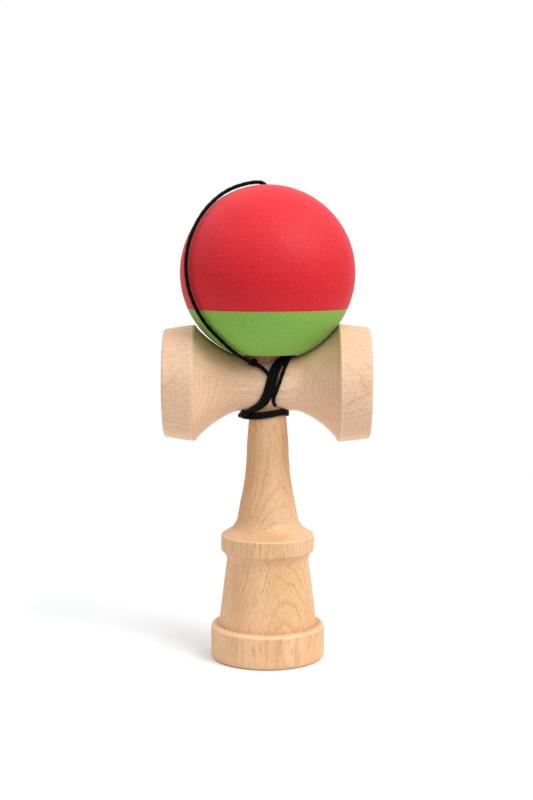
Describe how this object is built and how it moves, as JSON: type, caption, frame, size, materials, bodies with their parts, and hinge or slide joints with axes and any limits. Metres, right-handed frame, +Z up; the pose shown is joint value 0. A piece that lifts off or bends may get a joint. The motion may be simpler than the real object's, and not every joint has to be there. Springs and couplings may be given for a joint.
{
  "type": "kendama",
  "caption": "Wooden cup-and-ball toy: a turned handle with a spike and a base cup, a crosspiece with cups, and a painted ball held by a thin string.",
  "frame": {"origin": "bottom centre of the handle's base, on the surface that the toy stands on", "axes": "+Z up the handle to the ball, +X along the crosspiece towards the big cup, -Y to the front where the string is knotted"},
  "size_m": [0.0707, 0.06, 0.1653],
  "materials": {
    "beech_wood": "fine-sanded, oiled beech",
    "red_paint": "matte rubberised paint",
    "green_paint": "matte rubberised paint",
    "black_string": "braided nylon",
    "bead": "plain moulded bead"
  },
  "bodies": {
    "ken": {"ken": "beech_wood"},
    "sarado": {"sarado": "beech_wood", "string_front_knot": "black_string", "string_winding": "black_string", "string_neck_turn": "black_string", "string_tail": "black_string"},
    "string_end": {"string_bead": "bead", "string_inner_knot": "black_string", "string": "black_string"},
    "tama": {"tama_core": "beech_wood", "tama_red_coat": "red_paint", "tama_green_coat": "green_paint"}
  },
  "joints": [
    {"name": "sarado_lift", "type": "slide", "parent": "ken", "child": "sarado", "axis": [0, 0, 1], "range_m": [0, 0.06]},
    {"name": "tama_lift", "type": "slide", "parent": "sarado", "child": "string_end", "axis": [0, 0, 1], "range_m": [0, 0.045], "deforming": ["string"]},
    {"name": "tama_spin", "type": "hinge", "parent": "string_end", "child": "tama", "pos_m": [0, 0, 0.134], "axis": [0, 0, 1], "continuous": true}
  ]
}
